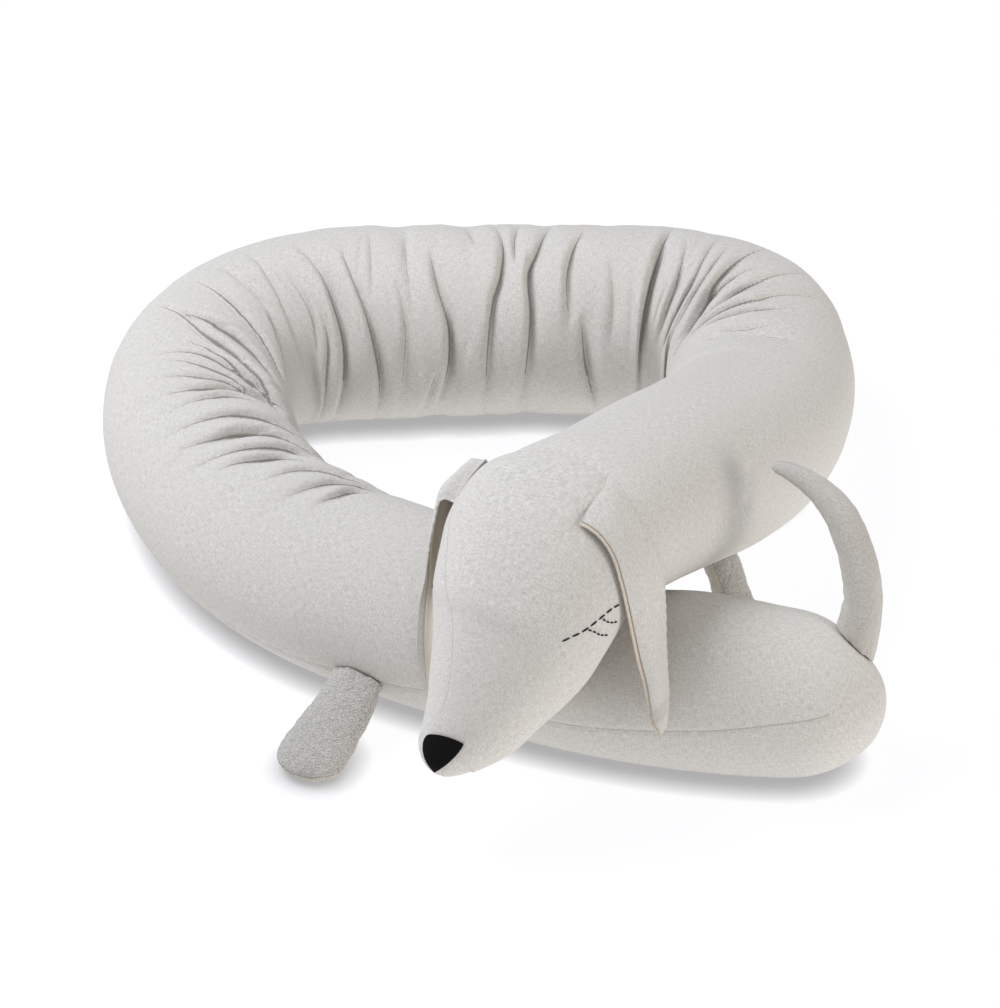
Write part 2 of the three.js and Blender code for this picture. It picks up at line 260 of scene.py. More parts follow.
# Small hollows where the chest is pushed in: the place, the radius and the depth in mm.
dents = [((1903, 141), 11, 3.2), ((1914, 154), 9, 2.5), ((1929, 171), 9, 3.5)]
# Seams in the cover, as places in order, with the groove's depth and half width in mm.
seams = [
    {"path": ((60, 154), (77, 159), (102, 164), (136, 171), (171, 176), (218, 180), (279, 183), (395, 190),
              (430, 195), (600, 208), (900, 222), (1400, 225), (1800, 222), (2060, 212)),
     "depth": 1.3, "width": 2.2, "faint": 0.4},
    {"path": ((60, 26), (102, 16), (171, 4), (279, -3), (430, -12), (600, -25), (900, -40), (1400, -45),
              (1800, -40), (2060, -30)), "depth": 1.3, "width": 2.2},
    {"path": ((2110, 36), (2149, 36), (2178, 49), (2206, 63), (2240, 73), (2273, 78), (2306, 86)),
     "depth": 0.45, "width": 2.0, "faint": 0.65},
    {"path": ((2130, 116), (2150, 118), (2172, 123), (2208, 128), (2246, 131), (2280, 130), (2306, 122)),
     "depth": 0.15, "width": 2.4, "line": False},
]
# The head's back edge stands up over the neck along this line.
crown = {"path": ((2122, 10), (2104, 34), (2097, 50), (2092, 66), (2090, 90), (2090, 110), (2096, 126),
                  (2112, 140)),
         "rise": 6.0, "dip": 9.0, "headReach": 34, "neckReach": 20}


def addPointNumbers(piece, word, grid):
    # gives each point of a tube its number from a grid of rings and places
    mesh = piece.data
    ring, place = (np.empty(len(mesh.vertices), np.int32) for _ in range(2))
    mesh.attributes["ring"].data.foreach_get("value", ring)
    mesh.attributes["place"].data.foreach_get("value", place)
    numbers = grid[ring, place].astype(np.float32)
    mesh.attributes.new(word, "FLOAT", "POINT").data.foreach_set("value", numbers)


def sewnRelief(along, around, relief):
    # sinks the seams into the cover and lifts the head's back edge. Also gives each place's
    # distance from the nearest seam, in mm, for the stitched line in the cloth.
    seamGap = np.full(relief.shape, 20.0)
    for seam in seams:
        near, offset, share = measuredFrom(smoothPath(seam["path"], 6), along, around, 20)
        ends = (share > 0.002) & (share < 0.998)
        gap = np.where(ends, offset, 20.0)
        relief[near] -= seam["depth"] * mm * np.exp(-(gap / seam["width"]) ** 2)
        if not seam.get("line", True):
            continue
        gap = gap + np.where(gap < 0, -1, 1) * seam.get("faint", 0)
        nearer = np.abs(gap) < np.abs(seamGap[near])
        seamGap[near] = np.where(nearer, gap, seamGap[near])
    near, offset, share = measuredFrom(smoothPath(crown["path"]), along, around, 80)
    fade = softStep(share, 0.0, 0.3) * (1 - softStep(share, 0.7, 1.0))
    head = offset > 0
    far = np.abs(offset)
    lift = crown["rise"] * (np.exp(-((far - 6) / crown["headReach"]) ** 2) * softStep(far, 0, 8))
    dip = crown["dip"] * np.exp(-far / crown["neckReach"])
    relief[near] += mm * fade * np.where(head, lift, -dip)
    relief[near] -= mm * fade * np.where(head, crown["dip"] * np.exp(-far / 5), 0)
    return relief, seamGap


def cadGrid(node, sides):
    # the CAD tube's rings, from the end at +X: an array of ring, place round it, and x y z
    bm = bmesh.new()
    bm.from_mesh(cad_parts[node].data)
    bmesh.ops.remove_doubles(bm, verts=bm.verts, dist=1e-5)
    poles = [v for v in bm.verts if len(v.link_edges) > sides / 2]
    ring, seen = [max(poles, key=lambda v: v.co.x)], set()
    rings = []
    while ring:
        rings.append([v.co.copy() for v in ring])
        seen.update(ring)
        ring = list({e.other_vert(v) for v in ring for e in v.link_edges} - seen)
    bm.free()
    cores = [sum(places, Vector()) / len(places) for places in rings]
    grid = np.zeros((len(rings), sides, 3))
    last = None
    for k, places in enumerate(rings):
        if len(places) == 1:
            grid[k] = places[0]
            continue
        ahead = cores[min(k + 1, len(cores) - 1)] - cores[max(k - 1, 0)]
        side = ahead.cross(Vector((0, 0, 1))).normalized()
        top = side.cross(ahead).normalized()
        angle = [math.atan2((p - cores[k]).dot(top), (p - cores[k]).dot(side)) % math.tau for p in places]
        ordered = np.array([places[i] for i in np.argsort(angle)])
        if last is None:
            turn = int(np.argmin(np.abs(np.angle(np.exp(1j * np.sort(angle))))))
        else:
            offsets = [np.linalg.norm(np.roll(ordered, -t, 0) - cores[k] - last, axis=1).sum()
                       for t in range(sides)]
            turn = int(np.argmin(offsets))
        grid[k] = np.roll(ordered, -turn, 0)
        last = grid[k] - cores[k]
    return grid


def cubic(rows, at):
    # a smooth line through rows (first axis) read at fractional places
    i = np.clip(np.floor(at).astype(int), 0, len(rows) - 4)
    t = (at - i).reshape((-1,) + (1,) * (rows.ndim - 1))
    a, b, c, d = rows[i], rows[i + 1], rows[i + 2], rows[i + 3]
    return b + 0.5 * t * (c - a + t * (2 * a - 5 * b + 4 * c - d + t * (3 * (b - c) + d - a)))


def finerGrid(grid, alongAt, ringCount, sideCount):
    # the same tube with rings evenly spaced along it, smooth both ways and over its two ends
    half = grid.shape[1] // 2
    capped = np.concatenate([np.roll(grid[1:2], half, 1), grid, np.roll(grid[-2:-1], half, 1)])
    at = np.interp(np.linspace(0, alongAt[-1], ringCount + 1), alongAt, np.arange(len(alongAt)))
    rings = cubic(capped, at)
    around = np.concatenate([rings[:, -1:], rings, rings[:, :2]], 1).swapaxes(0, 1)
    return cubic(around, np.arange(sideCount) * grid.shape[1] / sideCount).swapaxes(0, 1)


def lengthAlong(grid):
    cores = grid.mean(1)
    return np.concatenate([[0], np.cumsum(np.linalg.norm(np.diff(cores, axis=0), axis=1))])


def outwardOf(grid):
    # the surface's normals on a grid of rings
    alongWay = np.gradient(grid, axis=0)
    aroundWay = np.roll(grid, -1, 1) - np.roll(grid, 1, 1)
    out = np.cross(alongWay, aroundWay)
    length = np.linalg.norm(out, axis=2, keepdims=True)
    out = out / np.maximum(length, 1e-12)
    cores = grid.mean(1, keepdims=True)
    if ((grid - cores) * out).sum() < 0:
        out = -out
    out[0], out[-1] = cores[0] - cores[2], cores[-1] - cores[-3]
    return out / np.maximum(np.linalg.norm(out, axis=2, keepdims=True), 1e-12)


def tubeFrom(grid, name):
    # a flat grid's mesh rolled up onto the tube's rings and sewn shut. Its UV map is in metres:
    # round the tube from the belly, and along it. Each point keeps its ring and its place.
    ringCount, sideCount = grid.shape[0] - 1, grid.shape[1]
    bm = bmesh.new()
    bmesh.ops.create_grid(bm, x_segments=sideCount, y_segments=ringCount, size=1)
    piece = newObject(name, bm)
    mesh = piece.data
    flat = pointsOf(mesh)
    belly = sideCount * 3 // 4  # the map's two sides meet under the belly
    across = np.rint((flat[:, 0] + 1) / 2 * sideCount).astype(int)
    ring = np.rint((flat[:, 1] + 1) / 2 * ringCount).astype(int)
    place = (across + belly) % sideCount
    mesh.vertices.foreach_set("co", grid[ring, place].astype(np.float32).ravel())
    for word, numbers in (("ring", ring), ("place", place)):
        mesh.attributes.new(word, "INT", "POINT").data.foreach_set("value", numbers.astype(np.int32))
    girth = np.linalg.norm(np.roll(grid, -1, 1) - grid, axis=2).sum(1)
    along = lengthAlong(grid)
    corner = np.empty(len(mesh.loops), np.int32)
    mesh.loops.foreach_get("vertex_index", corner)
    u = (across[corner] / sideCount - 0.5) * girth[ring[corner]]
    uv = np.stack([u, along[ring[corner]]], 1)
    mesh.uv_layers.new(name="cloth").uv.foreach_set("vector", uv.astype(np.float32).ravel())
    bm = bmesh.new()
    bm.from_mesh(mesh)
    bmesh.ops.remove_doubles(bm, verts=bm.verts, dist=1e-6)
    bmesh.ops.recalc_face_normals(bm, faces=bm.faces)
    if bm.calc_volume(signed=True) < 0:
        bmesh.ops.reverse_faces(bm, faces=bm.faces)
    bm.to_mesh(mesh)
    bm.free()
    return piece


def smoothPath(path, steps=10):
    # a curve through a few places on the cover, as places a few mm apart
    rows = np.array([2 * np.array(path[0]) - path[1], *path, 2 * np.array(path[-1]) - path[-2]], float)
    return cubic(rows, np.linspace(0, len(path) - 1, steps * (len(path) - 1) + 1))


def measuredFrom(line, along, around, reach):
    # for the places near a line on the cover: how far to its side, and how far down it, 0 to 1.
    # Places are in mm, round the body as well as along it.
    girth = body["girth"] / 360
    p = np.stack([line[:, 0], line[:, 1] * girth], 1)
    q = np.stack(np.broadcast_arrays(along[:, None], around[None] * girth), 2)
    near = (along > p[:, 0].min() - reach) & (along < p[:, 0].max() + reach)
    q = q[near]
    offset, share = np.full(q.shape[:2], 1e3), np.zeros(q.shape[:2])
    for i in range(len(p) - 1):
        step = p[i + 1] - p[i]
        part = np.clip(((q - p[i]) @ step) / (step @ step), 0, 1)
        gap = q - p[i] - part[..., None] * step
        gap[..., 1] -= 360 * girth * np.rint(gap[..., 1] / (360 * girth))
        distance = np.linalg.norm(gap, axis=2)
        side = np.sign(gap[..., 0] * step[1] - gap[..., 1] * step[0])
        nearer = distance < np.abs(offset)
        offset[nearer] = (distance * np.where(side < 0, -1, 1))[nearer]
        share[nearer] = ((i + part) / (len(p) - 1))[nearer]
    return near, offset, share


def nearerOf(one, other):
    return np.where(np.abs(other) < np.abs(one), other, one)


def creaseRelief(along, around, listed):
    # how far the cover stands in or out, in metres: at a crease the cloth swells to a lip, drops
    # over it, and comes back slowly. Also the distance from the nearest crease's bottom, which places the
    # painted crease shade.
    relief = np.zeros((len(along), len(around)))
    foldGap = np.full(relief.shape, 99.0)
    for path, depth, width, lean in listed:
        near, offset, share = measuredFrom(smoothPath(path), along, around, 4 * width)
        offset = offset * lean
        fade = np.sin(math.pi * np.clip(share, 0, 1)) ** 0.6
        over = 1 - softStep(offset, -3.2, 3.2)
        lip = body["lip"] * np.exp(-np.abs(offset) / (1.3 * width))
        drop = body["drop"] * np.exp(-np.abs(offset) / (0.75 * width))
        valley = body["valley"] * np.exp(-(offset / 4) ** 2)
        relief[near] += depth * mm * fade * (over * lip - (1 - over) * drop - valley)
        gap = offset * 8 / depth / np.maximum(fade, 0.2)
        foldGap[near] = nearerOf(foldGap[near], gap * (1 + (gap / 3) ** 2))
    return relief, foldGap


def smallCreases():
    # short, shallow creases scattered between the main ones, where the ring is curled tightest
    chance = random.Random(body["seedNumber"])
    found = []
    for first, last, spacing, low, high, depth in body["scattered"]:
        along = first
        while along < last:
            along += spacing * chance.uniform(0.55, 1.45)
            middle, half = chance.uniform(low, high), chance.uniform(14, 42)
            slant = chance.uniform(-0.35, 0.35)
            path = tuple((along + slant * step * half, middle + step * half) for step in (-1, -0.3, 0.35, 1))
            found.append((path, depth * chance.uniform(0.5, 1.3), chance.uniform(5, 10),
                          chance.choice((-1, 1))))
    return found


def evened(values, alongRings, roundPlaces):
    # smooths a grid of values: a little along the body, further round it, as long creases are
    for axis, spread, mode in ((0, alongRings, "edge"), (1, roundPlaces, "wrap")):
        reach = int(3 * spread) + 1
        weights = np.exp(-0.5 * (np.arange(-reach, reach + 1) / spread) ** 2)
        pads = [(0, 0), (0, 0)]
        pads[axis] = (reach, reach)
        values = np.pad(values, pads, mode=mode)
        values = np.apply_along_axis(np.convolve, axis, values, weights / weights.sum(), "valid")
    return values


def simulatedRise(grid, along):
    # lets the slack cloth buckle over the filling, and gives how far each place rose
    around = np.arange(grid.shape[1]) * 360 / grid.shape[1]
    start = grid + body["seed"] * outwardOf(grid) * creaseRelief(along, around, creases)[0][..., None]
    piece = tubeFrom(start, "cover_sim")
    mesh = piece.data
    ring, place = (np.empty(len(mesh.vertices), np.int32) for _ in range(2))
    mesh.attributes["ring"].data.foreach_get("value", ring)
    mesh.attributes["place"].data.foreach_get("value", place)
    slack = np.interp(along, *zip(*slackCloth))
    inside = softStep((1 + np.cos(np.radians(around - body["slackMiddle"]))) / 2, 0.15, 0.6)
    loose = (slack / slack.max())[:, None] * inside[None]
    held = (1 - softStep(loose, 0, 0.3)) ** 0.5
    weightPoints(piece, "held", held[ring, place])
    weightPoints(piece, "snug", 1 - loose[ring, place])
    springs = body["springs"]
    moved = np.zeros_like(grid)
    moved[ring, place] = runCloth(
        piece, body["simFrames"], mass=0.3, tension_stiffness=springs, compression_stiffness=springs,
        shear_stiffness=springs / 3, bending_stiffness=body["bending"], uniform_pressure_force=body["pressure"],
        pin_stiffness=body["pinStiffness"], vertex_group_shrink="snug", shrink_min=-slack.max(), shrink_max=0)
    moved[0], moved[-1] = moved[0, place[ring == 0][0]], moved[-1, place[ring == len(grid) - 1][0]]
    moved -= grid
    bpy.data.objects.remove(piece)
    rise = (moved * outwardOf(grid)).sum(2)
    print("cover settled: rise", round(rise.min() / mm, 1), "to", round(rise.max() / mm, 1), "mm")
    return rise


def foldRelief(rise):
    # the folds alone, without the swelling: broad rounded ridges between narrow valleys
    spread = body["evenAlong"]
    folds = evened(rise, spread, body["evenAround"]) - evened(rise, body["swellAlong"], body["evenAround"])
    high = body["foldHigh"]
    share = (np.tanh(folds * body["foldGain"] / high) + 1) / 2
    sharp = body["foldSharp"]
    return high * 2 * (share ** sharp - 0.5 ** sharp)


cad = cadGrid("body", body["cadSides"])
cadAlong = lengthAlong(cad)
print("body grid", cad.shape, "length", round(cadAlong[-1], 3))


def makeBody():
    coarse = finerGrid(cad, cadAlong, body["simRings"], body["simSides"])
    along = np.linspace(0, cadAlong[-1], body["simRings"] + 1) / mm
    folds = foldRelief(simulatedRise(coarse, along))
    fine = finerGrid(cad, cadAlong, body["rings"], body["sides"])
    ringAt = np.linspace(0, body["simRings"], body["rings"] + 1)
    onRings = cubic(np.concatenate([folds[:1], folds, folds[-1:]]), ringAt)
    wrapped = np.concatenate([onRings[:, -1:], onRings, onRings[:, :2]], 1).T
    relief = cubic(wrapped, np.arange(body["sides"]) * body["simSides"] / body["sides"]).T
    along = np.linspace(0, cadAlong[-1], body["rings"] + 1) / mm
    around = np.arange(body["sides"]) * 360 / body["sides"]
    main, foldGap = creaseRelief(along, around, creases)
    small, _ = creaseRelief(along, around, smallCreases())
    # the creases run out over the top of the ring, and under it
    offInside = np.abs((around - body["slackMiddle"] + 180) % 360 - 180)
    calm = 1 - (1 - body["topCalm"]) * softStep(offInside, 42, 84)
    relief = (relief + body["handGain"] * main + small) * calm
    # the painted crease shade fades out with them over the top
    foldGap = foldGap * (1 + 1.5 * (1 - calm))
    for (place, turn), half, depth in dents:
        far = np.hypot((along[:, None] - place) / half, (around[None] - turn) * body["girth"] / 360 / half)
        relief -= depth * mm * np.exp(-far ** 2)
    relief, seamGap = sewnRelief(along, around, relief)
    relief[0] = relief[-1] = 0
    fine += outwardOf(fine) * relief[..., None]
    fine[..., 2] = np.maximum(fine[..., 2], 0.3 * mm)
    piece = tubeFrom(fine, "bolster_body")
    addPointNumbers(piece, "seamGap", seamGap)
    addPointNumbers(piece, "foldGap", foldGap)
    return piece, fine


bodyPiece, bodyGrid = makeBody()
print("body made")


def makeCloth(name, look):
    # woven cloth: coarse uneven threads both ways, soft mottling, a matt face with a little fuzz, a fine dark
    # line where a seam runs (painted shade at an ear's sewn-on edge), and painted shade in sharp creases'
    # bottoms
    material = bpy.data.materials.new(name)
    material.use_nodes = True
    surface = material.node_tree.nodes["Principled BSDF"]
    if look["map"]:
        place = addNode(material, "UVMap", {"uv_map": look["map"]}).outputs["UV"]
    else:
        place = addNode(material, "TexCoord").outputs["Object"]
    threads = []
    for fine, long in (("x", "y"), ("y", "x")) if look["map"] else (("x", "z"), ("z", "x")):
        sizes = dict.fromkeys("xyz", 1000 / look["thread"])
        sizes[long] = 1000 / look["slub"]
        stretched = addNode(material, "Mapping", {"Scale": [sizes[k] for k in "xyz"]}, Vector=place)
        dims = "2D" if look["map"] else "3D"
        threads.append(addNode(material, "TexNoise", {"noise_dimensions": dims, "Scale": 1.0, "Detail": 2.0,
                       "Roughness": 0.6}, Vector=stretched.outputs["Vector"]).outputs["Fac"])
    weave = addNode(material, "Math", {"operation": "ADD"}, _0=threads[0], _1=threads[1]).outputs["Value"]
    nubs = addNode(material, "Mapping", {"Scale": [1000 / look["nub"]] * 3}, Vector=place)
    nubs = addNode(material, "TexNoise", {"Scale": 1.0, "Detail": 3.0}, Vector=nubs.outputs["Vector"])
    patches = addNode(material, "Mapping", {"Scale": [1000 / look["mottle"]] * 3}, Vector=place)
    patches = addNode(material, "TexNoise", {"Scale": 1.0, "Detail": 2.0}, Vector=patches.outputs["Vector"])
    height = addNode(material, "Math", {"operation": "MULTIPLY_ADD", 1: look["nubShare"]},
                     _0=nubs.outputs["Fac"], _2=weave)
    height = height.outputs["Value"]
    low, high = look["contrast"]
    tone = addNode(material, "MapRange", {"From Min": low, "From Max": high}, Value=height).outputs["Result"]
    colour = addNode(material, "Mix", {"data_type": "RGBA", 6: linear(look["deep"]), 7: linear(look["light"])},
                     _0=tone)
    # further colours are laid over it in turn, each where its number on the cloth is in a range
    gap = addNode(material, "Attribute", {"attribute_name": "seamGap"}).outputs["Fac"]
    fold = addNode(material, "Attribute", {"attribute_name": "foldGap"}).outputs["Fac"]
    seamAway, foldAway = (addNode(material, "Math", {"operation": "ABSOLUTE"}, _0=number).outputs["Value"]
                          for number in (gap, fold))
    overlays = [("stain", patches.outputs["Fac"], (0.3, 0.7, 0.0, look["mottleShare"]), "LINEAR")]
    if look.get("under"):  # the sole, below its seam
        overlays.append(("under", gap, (-0.4, 0.2, 1.0, 0.0), "LINEAR"))
    if look.get("creaseShade"):  # painted shade in the bottoms of the sharp creases, where little light gets in
        overlays.append(("creaseShadeColour", foldAway, (0.2, 2.0, look["creaseShade"], 0.0), "SMOOTHSTEP"))
    if look.get("seamed"):
        overlays.append(("seamColour", seamAway, (0.35, 1.1, look["seamed"], 0.0), "LINEAR"))
    for word, value, limits, curve in overlays:
        ends = dict(zip(("From Min", "From Max", "To Min", "To Max"), limits))
        share = addNode(material, "MapRange", {"interpolation_type": curve, **ends}, Value=value)
        colour = addNode(material, "Mix", {"data_type": "RGBA", 7: linear(look[word])},
                         _0=share.outputs["Result"], _6=colour.outputs[2])
    material.node_tree.links.new(colour.outputs[2], surface.inputs["Base Color"])
    bump = addNode(material, "Bump", {"Strength": look["bump"], "Distance": look["thick"] * mm}, Height=height)
    material.node_tree.links.new(bump.outputs["Normal"], surface.inputs["Normal"])
    surface.inputs["Roughness"].default_value = look["roughness"]
    surface.inputs["Specular IOR Level"].default_value = 0.25
    surface.inputs["Sheen Weight"].default_value = look["fuzz"]
    surface.inputs["Sheen Roughness"].default_value = 0.6
    return material


# Washed linen-cotton, plain woven and pre-shrunk: matt, light warm grey, with uneven threads
# that show as short light and dark lines both ways. Real threads are 0.5 mm apart, too fine to
# show, so the pattern is drawn twice as coarse. Sizes are in mm.
linenLook = {
    "map": "cloth", "thread": 1.05, "slub": 6, "nub": 1.0, "nubShare": 0.6, "mottle": 60, "mottleShare": 0.3,
    "light": "#e4e1dc", "deep": "#c3bfb8", "stain": "#d4d0c9", "contrast": (0.97, 1.63),
    "bump": 0.5, "thick": 0.45, "roughness": 0.92, "fuzz": 0.12, "seamed": 0.5, "seamColour": "#8f8b86",
}
# Painted shade darkens the bottoms of the body's sharp creases.
washedLinen = makeCloth("washed_linen", {**linenLook, "creaseShade": 0.75, "creaseShadeColour": "#6f6a65"})
# The ears are cut from the same linen, without the creases.
earLinen = makeCloth("washed_linen_ears", linenLook)
# The same linen on the tail, where the pattern runs with the piece's own height, its tones darker than the
# body's: painted shade.
tailLinenShaded = makeCloth("washed_linen_tail_shaded", {**linenLook, "map": "", "light": "#d2cec6", "deep": "#a9a59e"})
# The same linen crinkled by the wash on the small tightly stuffed legs, its tones darker than the body's:
# painted shade. The sole below the seam is cream cotton.
legLinenShaded = makeCloth("crinkled_linen_shaded", {
    **linenLook, "map": "", "thread": 1.3, "slub": 4, "nub": 2.0, "nubShare": 1.6, "contrast": (1.42, 2.28),
    "light": "#dfdcd6", "deep": "#b0ada7", "bump": 1.0, "thick": 1.3, "under": "#d6d0c5",
    "seamColour": "#7d7973"})
# Cream cotton sateen inside the ears: finer threads, smoother, warmer.
creamCotton = makeCloth("cream_cotton", {
    **linenLook, "thread": 0.9, "slub": 8, "light": "#ddd3c5", "deep": "#cfc3b3", "stain": "#d3c7b8",
    "bump": 0.3, "thick": 0.3, "seamed": 0})
finishPiece(bodyPiece, washedLinen, ["body"])


def onCover(along, around):
    # the place on the finished body, and its outward direction, at one (along, around)
    k = min(max(along * mm / cadAlong[-1] * body["rings"], 0), body["rings"] - 1.001)
    j = around % 360 / 360 * body["sides"]
    places = []
    for dk, dj in ((0, 0), (1, 0), (0, 1), (1, 1)):
        places.append(bodyGrid[int(k) + dk, (int(j) + dj) % body["sides"]])
    a, b = k - int(k), j - int(j)
    spot = (1 - b) * ((1 - a) * places[0] + a * places[1]) + b * ((1 - a) * places[2] + a * places[3])
    out = Vector(np.cross(places[1] - places[0], places[2] - places[0])).normalized()
    core = bodyGrid[int(k)].mean(0)
    spot = Vector(spot)
    return spot, out if out.dot(spot - Vector(core)) > 0 else -out


# The ears: two layers of cloth, sewn together round the edge and turned right side out. The
# lining rolls round the front edge, where it shows as a narrow strip. Sizes are in mm.
ears = {
    "cadAcross": 5, "cadAlong": 21, "places": 60, "across": 26, "along": 100, "cloth": 1.5, "rim": 0.55,
    "stripLift": 1.5, "tipRound": 13,
    "folds": ((0.34, 8, 2.2), (0.62, 11, -1.6)),  # share of the width, half width, height
    "puckerEvery": 9, "pucker": 0.35, "wave": 0.9,
    # sewnIn: how deep the head end is drawn in, and over what length
    # curl: how far the front edge turns in to the head
    # strip: how far the lining shows round the front edge, or the outer layer where it is less than 0
    # Flat and Area: each layer's stated width and length in metres, and its area in square metres
    "left": {"hand": 1, "sewnIn": (1.6, 8), "curl": 0, "strip": 3.4,
             "outerFlat": (0.062, 0.241), "outerArea": 0.0104,
             "liningFlat": (0.066, 0.241), "liningArea": 0.0109},
    "right": {"hand": -1, "sewnIn": (4.5, 16), "curl": 4.5, "strip": -6.5,
              "outerFlat": (0.063, 0.235), "outerArea": 0.0102,
              "liningFlat": (0.056, 0.235), "liningArea": 0.0093},
}


def cadSheet(node, across, along):
    # the middle of a thin CAD sheet: rows from its seam down, places from its front edge back
    bm = bmesh.new()
    bm.from_mesh(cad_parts[node].data)
    bmesh.ops.remove_doubles(bm, verts=bm.verts, dist=1e-5)
    bmesh.ops.join_triangles(bm, faces=bm.faces, angle_face_threshold=1.2, angle_shape_threshold=3.1)
    bm.normal_update()
    broad = {max(bm.faces, key=lambda f: f.calc_area())}
    edge = list(broad)
    while edge:
        edge = [g for f in edge for e in f.edges for g in e.link_faces
                if g not in broad and g.normal.dot(f.normal) > 0.5]
        broad.update(edge)
    near = {v for f in broad for v in f.verts}
    corners = [v for v in near if sum(f in broad for f in v.link_faces) == 1]

    def stepsFrom(corner):
        steps, ring, count = {corner: 0}, [corner], 0
        while ring:
            count += 1
            ring = list({e.other_vert(v) for v in ring for e in v.link_edges
                         if any(f in broad for f in e.link_faces)} - steps.keys())
            steps.update(dict.fromkeys(ring, count))
        return steps

    top = sorted(corners, key=lambda v: v.co.z)[-2:]
    front, rear = sorted(top, key=lambda v: v.co.y)
    a, b = stepsFrom(front), stepsFrom(rear)
    far = [v.co.copy() for v in bm.verts if v not in near]
    rows = np.zeros((along + 1, across + 1, 3))
    for v in near:
        i, j = (a[v] - b[v] + across) // 2, (a[v] + b[v] - across) // 2
        partner = min(far, key=lambda p: (p - v.co).length_squared)
        rows[j, i] = (v.co + partner) / 2
    bm.free()
    return rows


def stretched(rows):
    return np.concatenate([2 * rows[:1] - rows[1:2], rows, 2 * rows[-1:] - rows[-2:-1]])


def finerSheet(rows, across, along):
    tall = cubic(stretched(rows), np.linspace(0, len(rows) - 1, along + 1)).swapaxes(0, 1)
    return cubic(stretched(tall), np.linspace(0, len(tall) - 1, across + 1)).swapaxes(0, 1)


def sheetFrom(rows, name, thick, rim):
    # a flat grid's mesh laid onto the rows, then given its thickness and soft edges. thick is in
    # metres and goes both ways from the rows. The UV map is in metres.
    along, across = rows.shape[0] - 1, rows.shape[1] - 1
    bm = bmesh.new()
    bmesh.ops.create_grid(bm, x_segments=across, y_segments=along, size=1)
    cloth = bm.loops.layers.uv.new("cloth")
    gap = bm.verts.layers.float.new("seamGap")
    wide = np.linalg.norm(rows[along // 3, -1] - rows[along // 3, 0])
    tall = np.linalg.norm(np.diff(rows[:, across // 2], axis=0), axis=1).sum()
    for v in bm.verts:
        i, j = round((v.co.x + 1) / 2 * across), round((v.co.y + 1) / 2 * along)
        for loop in v.link_loops:
            loop[cloth].uv = (i / across * wide, j / along * tall)
        v[gap] = 0.5 * j / along * tall / mm  # the dark line along the seam at the sheet's head: painted shade of the narrow gap where an ear is sewn to the head
        v.co = rows[j, i]
    bm.normal_update()
    for v in bm.verts:
        v.co -= v.normal * thick / 2
    bmesh.ops.solidify(bm, geom=bm.faces[:], thickness=-thick)
    bmesh.ops.recalc_face_normals(bm, faces=bm.faces)
    if bm.calc_volume(signed=True) < 0:
        bmesh.ops.reverse_faces(bm, faces=bm.faces)
    bm.normal_update()
    edges = [e for e in bm.edges if len(e.link_faces) == 2 and e.calc_face_angle() > 1.1]
    bmesh.ops.bevel(bm, geom=edges, offset=rim, offset_type="OFFSET", segments=3, profile=0.5,
                    affect="EDGES", material=-1, clamp_overlap=True)
    bmesh.ops.remove_doubles(bm, verts=bm.verts, dist=1e-5)
    return newObject(name, bm)


